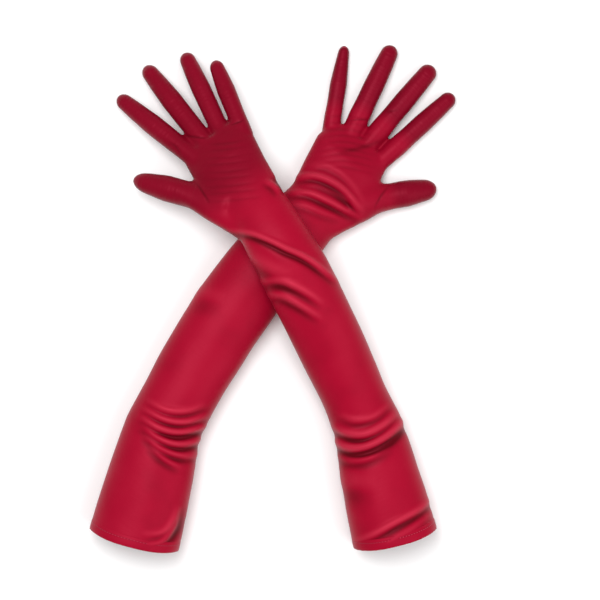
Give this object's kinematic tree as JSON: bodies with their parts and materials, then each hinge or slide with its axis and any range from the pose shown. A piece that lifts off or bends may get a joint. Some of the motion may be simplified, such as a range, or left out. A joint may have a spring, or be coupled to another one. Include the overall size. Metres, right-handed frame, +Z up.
{
  "type": "opera gloves",
  "caption": "Pair of long satin opera gloves, crossed and lying palms up, with fingers, thumbs, wrists and elbows that fold.",
  "frame": {"origin": "middle of the pair's footprint, on the surface that it lies on", "axes": "+Y towards the fingertips, +Z up out of the palms, +X towards the right glove's thumb"},
  "size_m": [0.3646, 0.5088, 0.0896],
  "materials": {
    "left_satin": "crimson stretch satin with a soft sheen",
    "right_satin": "crimson stretch satin with a soft sheen, a little deeper",
    "hem_satin": "doubled satin with one row of stitches"
  },
  "bodies": {
    "right_forearm": {"right_forearm_palm_panel": "right_satin", "right_forearm_back_panel": "right_satin"},
    "right_upper_arm": {"right_upper_sleeve_palm_panel": "right_satin", "right_upper_sleeve_back_panel": "right_satin", "right_hem": "hem_satin"},
    "right_hand": {"right_hand_palm_panel": "right_satin", "right_hand_back_panel": "right_satin"},
    "right_thumb_base": {"right_thumb_lower": "right_satin"},
    "right_thumb_end": {"right_thumb_tip": "right_satin"},
    "right_index_base": {"right_index_lower": "right_satin"},
    "right_index_end": {"right_index_tip": "right_satin"},
    "right_middle_base": {"right_middle_lower": "right_satin"},
    "right_middle_end": {"right_middle_tip": "right_satin"},
    "right_ring_base": {"right_ring_lower": "right_satin"},
    "right_ring_end": {"right_ring_tip": "right_satin"},
    "right_little_base": {"right_little_lower": "right_satin"},
    "right_little_end": {"right_little_tip": "right_satin"},
    "left_forearm": {"left_forearm_palm_panel": "left_satin", "left_forearm_back_panel": "left_satin"},
    "left_upper_arm": {"left_upper_sleeve_palm_panel": "left_satin", "left_upper_sleeve_back_panel": "left_satin", "left_hem": "hem_satin"},
    "left_hand": {"left_hand_palm_panel": "left_satin", "left_hand_back_panel": "left_satin"},
    "left_thumb_base": {"left_thumb_lower": "left_satin"},
    "left_thumb_end": {"left_thumb_tip": "left_satin"},
    "left_index_base": {"left_index_lower": "left_satin"},
    "left_index_end": {"left_index_tip": "left_satin"},
    "left_middle_base": {"left_middle_lower": "left_satin"},
    "left_middle_end": {"left_middle_tip": "left_satin"},
    "left_ring_base": {"left_ring_lower": "left_satin"},
    "left_ring_end": {"left_ring_tip": "left_satin"},
    "left_little_base": {"left_little_lower": "left_satin"},
    "left_little_end": {"left_little_tip": "left_satin"}
  },
  "joints": [
    {"name": "left_glove_lift", "type": "slide", "parent": "right_forearm", "child": "left_forearm", "axis": [0, 0, 1], "range_m": [0, 0.15]},
    {"name": "right_elbow_fold", "type": "hinge", "parent": "right_forearm", "child": "right_upper_arm", "pos_m": [-0.10947, -0.1299, 0.052], "axis": [-0.9449, 0.3273, 0], "range_deg": [0, 110]},
    {"name": "right_wrist_fold", "type": "hinge", "parent": "right_forearm", "child": "right_hand", "pos_m": [0.04516, 0.09508, 0.035], "axis": [0.7444, -0.6677, 0], "range_deg": [0, 70]},
    {"name": "right_thumb_base_fold", "type": "hinge", "parent": "right_hand", "child": "right_thumb_base", "pos_m": [0.10948, 0.10206, 0.02288], "axis": [0.1822, -0.9833, 0], "range_deg": [0, 50]},
    {"name": "right_thumb_middle_fold", "type": "hinge", "parent": "right_thumb_base", "child": "right_thumb_end", "pos_m": [0.1352, 0.10682, 0.02124], "axis": [0.1822, -0.9833, 0], "range_deg": [0, 70]},
    {"name": "right_index_base_fold", "type": "hinge", "parent": "right_hand", "child": "right_index_base", "pos_m": [0.12486, 0.15384, 0.01553], "axis": [0.7314, -0.682, 0], "range_deg": [0, 85]},
    {"name": "right_index_middle_fold", "type": "hinge", "parent": "right_index_base", "child": "right_index_end", "pos_m": [0.15251, 0.17917, 0.01439], "axis": [0.7314, -0.682, 0], "range_deg": [0, 90]},
    {"name": "right_middle_base_fold", "type": "hinge", "parent": "right_hand", "child": "right_middle_base", "pos_m": [0.10841, 0.17139, 0.01681], "axis": [0.7744, -0.6327, 0], "range_deg": [0, 85]},
    {"name": "right_middle_middle_fold", "type": "hinge", "parent": "right_middle_base", "child": "right_middle_end", "pos_m": [0.13412, 0.20204, 0.01559], "axis": [0.7744, -0.6327, 0], "range_deg": [0, 90]},
    {"name": "right_ring_base_fold", "type": "hinge", "parent": "right_hand", "child": "right_ring_base", "pos_m": [0.08593, 0.182, 0.01645], "axis": [0.848, -0.5299, 0], "range_deg": [0, 85]},
    {"name": "right_ring_middle_fold", "type": "hinge", "parent": "right_ring_base", "child": "right_ring_end", "pos_m": [0.10293, 0.21765, 0.01525], "axis": [0.848, -0.5299, 0], "range_deg": [0, 90]},
    {"name": "right_little_base_fold", "type": "hinge", "parent": "right_hand", "child": "right_little_base", "pos_m": [0.06062, 0.18424, 0.01332], "axis": [0.9135, -0.4067, 0], "range_deg": [0, 85]},
    {"name": "right_little_middle_fold", "type": "hinge", "parent": "right_little_base", "child": "right_little_end", "pos_m": [0.0664, 0.21876, 0.01234], "axis": [0.9135, -0.4067, 0], "range_deg": [0, 90]},
    {"name": "left_elbow_fold", "type": "hinge", "parent": "left_forearm", "child": "left_upper_arm", "pos_m": [0.09552, -0.12826, 0.052], "axis": [-0.9502, -0.3115, 0], "range_deg": [0, 110]},
    {"name": "left_wrist_fold", "type": "hinge", "parent": "left_forearm", "child": "left_hand", "pos_m": [-0.01687, 0.09617, 0.07817], "axis": [0.8305, 0.557, 0], "range_deg": [0, 70]},
    {"name": "left_thumb_base_fold", "type": "hinge", "parent": "left_hand", "child": "left_thumb_base", "pos_m": [-0.07769, 0.10293, 0.05827], "axis": [0.2672, 0.9636, 0], "range_deg": [0, 50]},
    {"name": "left_thumb_middle_fold", "type": "hinge", "parent": "left_thumb_base", "child": "left_thumb_end", "pos_m": [-0.1059, 0.11075, 0.05027], "axis": [0.2672, 0.9636, 0], "range_deg": [0, 70]},
    {"name": "left_index_base_fold", "type": "hinge", "parent": "left_hand", "child": "left_index_base", "pos_m": [-0.09146, 0.15228, 0.04075], "axis": [0.7193, 0.6947, 0], "range_deg": [0, 85]},
    {"name": "left_index_middle_fold", "type": "hinge", "parent": "left_index_base", "child": "left_index_end", "pos_m": [-0.12254, 0.17745, 0.02812], "axis": [0.7193, 0.6947, 0], "range_deg": [0, 90]},
    {"name": "left_middle_base_fold", "type": "hinge", "parent": "left_hand", "child": "left_middle_base", "pos_m": [-0.07896, 0.17159, 0.03849], "axis": [0.7934, 0.6088, 0], "range_deg": [0, 85]},
    {"name": "left_middle_middle_fold", "type": "hinge", "parent": "left_middle_base", "child": "left_middle_end", "pos_m": [-0.10297, 0.20232, 0.02579], "axis": [0.7934, 0.6088, 0], "range_deg": [0, 90]},
    {"name": "left_ring_base_fold", "type": "hinge", "parent": "left_hand", "child": "left_ring_base", "pos_m": [-0.05758, 0.18144, 0.03912], "axis": [0.8572, 0.515, 0], "range_deg": [0, 85]},
    {"name": "left_ring_middle_fold", "type": "hinge", "parent": "left_ring_base", "child": "left_ring_end", "pos_m": [-0.07259, 0.21361, 0.02781], "axis": [0.8572, 0.515, 0], "range_deg": [0, 90]},
    {"name": "left_little_base_fold", "type": "hinge", "parent": "left_hand", "child": "left_little_base", "pos_m": [-0.03579, 0.18358, 0.04228], "axis": [0.8704, 0.4924, 0], "range_deg": [0, 85]},
    {"name": "left_little_middle_fold", "type": "hinge", "parent": "left_little_base", "child": "left_little_end", "pos_m": [-0.04665, 0.21047, 0.03307], "axis": [0.8704, 0.4924, 0], "range_deg": [0, 90]}
  ]
}
